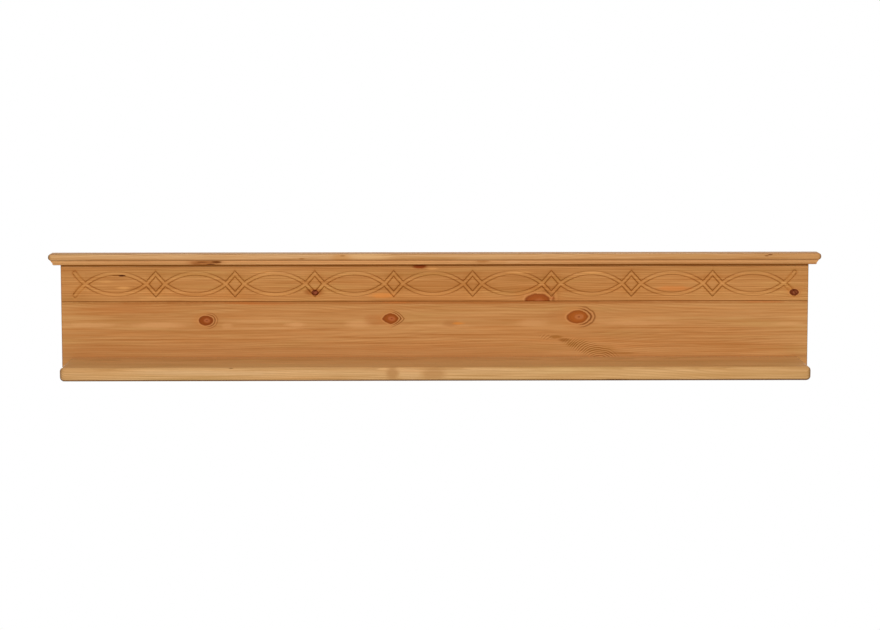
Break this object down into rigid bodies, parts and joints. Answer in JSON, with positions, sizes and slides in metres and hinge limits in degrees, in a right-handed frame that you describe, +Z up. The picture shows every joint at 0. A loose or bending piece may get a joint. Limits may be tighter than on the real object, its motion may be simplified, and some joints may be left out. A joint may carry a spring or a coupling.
{
  "type": "wall shelf",
  "caption": "Long solid pine wall shelf: a moulded cap on a flat back panel with a carved ribbon frieze, and a deep rounded ledge, hung on keyhole plates.",
  "frame": {"origin": "midway between the round holes of the two keyhole hangers, on the plane of the wall", "axes": "+X along the shelf to the right as seen from the room, +Y into the wall, +Z up; the shelf faces -Y"},
  "size_m": [1.5, 0.175, 0.23],
  "materials": {
    "pine": "clear satin lacquer over knotty pine",
    "plywood": "bare birch plywood",
    "beech": "bare beech",
    "zinc_plated_steel": "bright zinc plate"
  },
  "bodies": {
    "root": {"cap_board": "pine", "cap_moulding_front": "pine", "cap_moulding_left": "pine", "cap_moulding_right": "pine", "frieze_board": "pine", "back_board": "pine", "panel_tongue": "plywood", "ledge_board": "pine", "ledge_dowels": "beech", "cap_dowels": "beech", "ledge_screws": "zinc_plated_steel", "cap_screws": "zinc_plated_steel", "cap_screw_plugs": "pine", "moulding_pins": "zinc_plated_steel", "hanger_plate_left": "zinc_plated_steel", "hanger_plate_right": "zinc_plated_steel", "hanger_screws": "zinc_plated_steel"}
  },
  "joints": []
}
